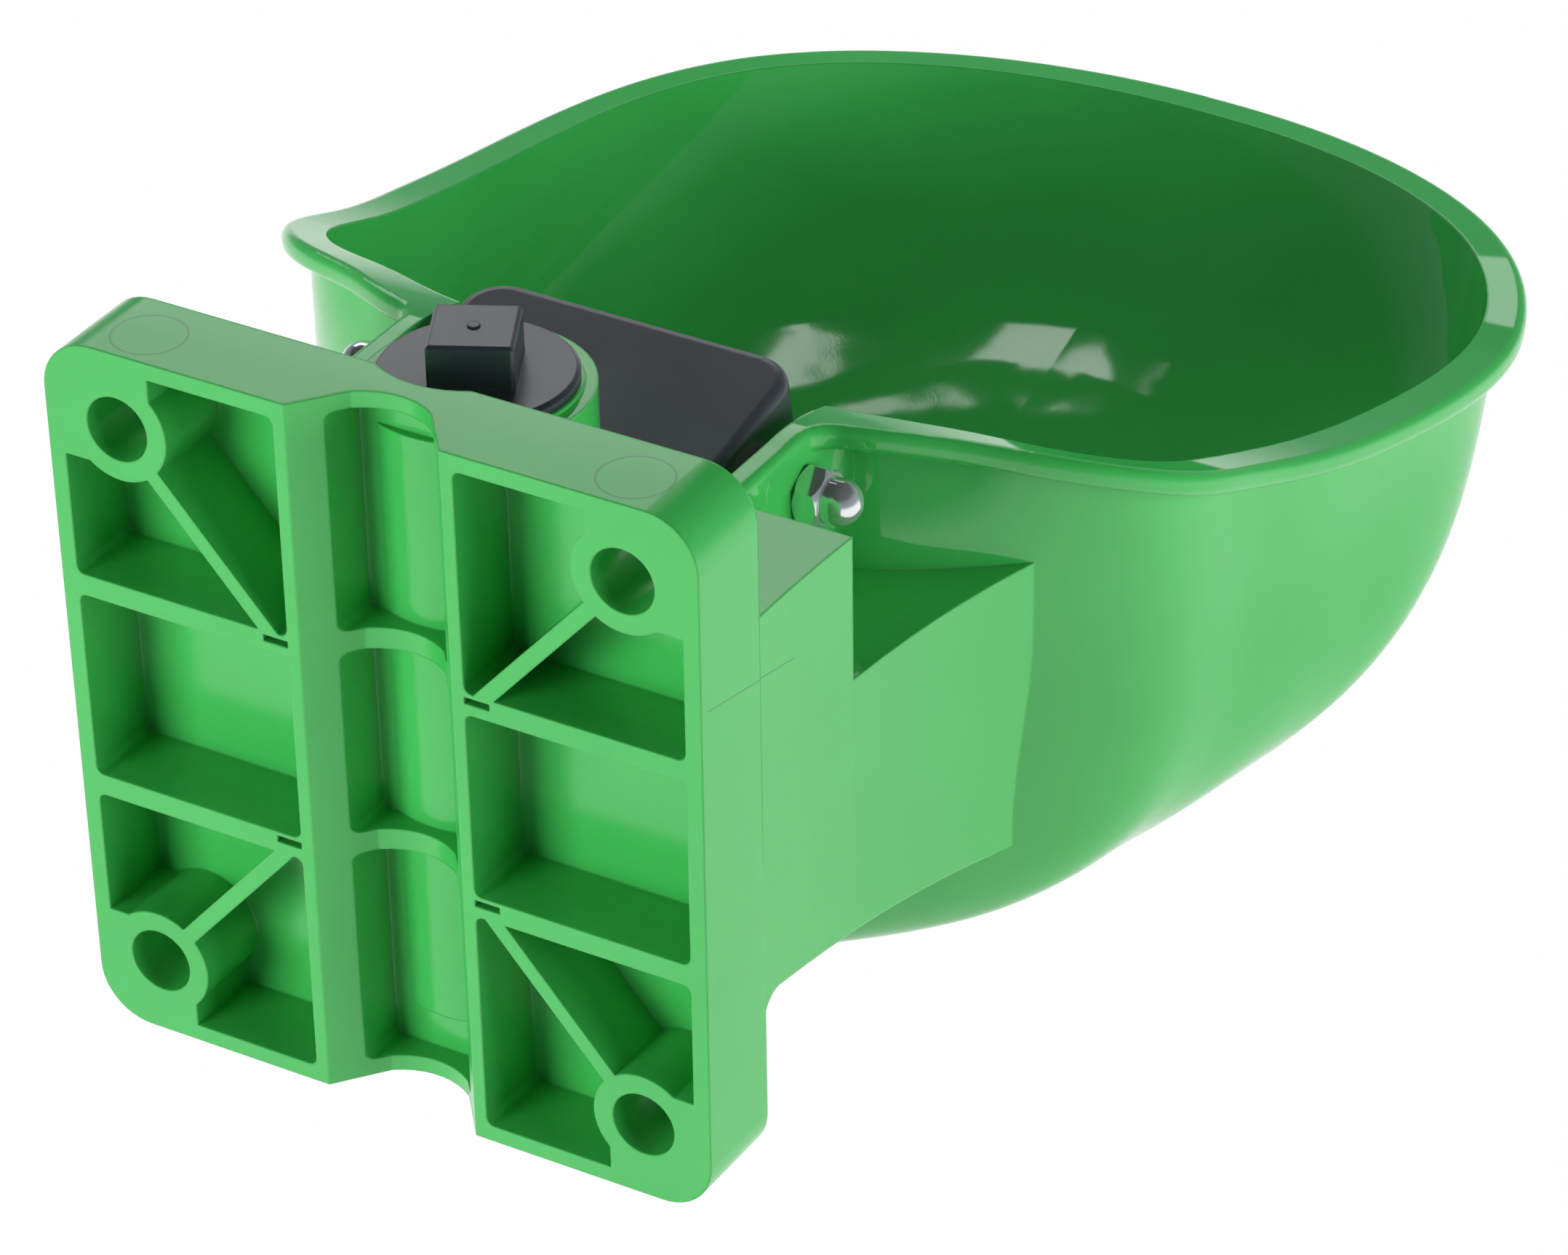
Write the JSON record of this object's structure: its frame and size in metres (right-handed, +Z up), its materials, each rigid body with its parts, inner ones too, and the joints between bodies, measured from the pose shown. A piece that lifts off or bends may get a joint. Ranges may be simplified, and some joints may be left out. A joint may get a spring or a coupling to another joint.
{
  "type": "livestock drinking bowl",
  "caption": "Wall-mounted livestock drinking bowl with a pivoting tongue that presses a spring-closed water valve, fed through an upright threaded tube.",
  "frame": {"origin": "centre of the four wall screw holes, on the flange's back face", "axes": "+Z up, -Y out from the wall towards the animal, X along the wall"},
  "size_m": [0.2084, 0.2972, 0.1463],
  "materials": {
    "green_plastic": "glossy moulded",
    "black_plastic": "satin",
    "bright_steel": "bright plated",
    "stainless": "satin",
    "brass": "turned",
    "seal_rubber": "matt",
    "white_plastic": "satin"
  },
  "bodies": {
    "bowl": {"bowl_body": "green_plastic", "top_plug": "black_plastic", "plug_seal": "seal_rubber", "tongue_axle": "stainless", "cap_nuts": "bright_steel", "valve_body": "brass", "body_seal": "seal_rubber", "valve_seat": "white_plastic", "stem_ring": "seal_rubber", "valve_spring": "stainless", "spring_cap": "brass", "retaining_ring": "stainless"},
    "tongue": {"tongue": "black_plastic", "bush_left": "white_plastic", "bush_right": "white_plastic"},
    "stem": {"valve_stem": "stainless", "valve_seal": "seal_rubber", "seal_clip": "stainless"}
  },
  "joints": [
    {"name": "tongue_hinge", "type": "hinge", "parent": "bowl", "child": "tongue", "pos_m": [0, -0.071, 0.0312], "axis": [1, 0, 0], "range_deg": [0, 8], "stiffness_Nm_per_rad": 0.5, "springref_deg": -8.59},
    {"name": "stem_slide", "type": "slide", "parent": "bowl", "child": "stem", "axis": [0, 1, 0], "range_m": [0, 0.0038], "deforming": ["valve_spring"]}
  ],
  "couplings": [
    {"joint": "stem_slide", "follows": "tongue_hinge", "m_per_rad": 0.0272}
  ]
}
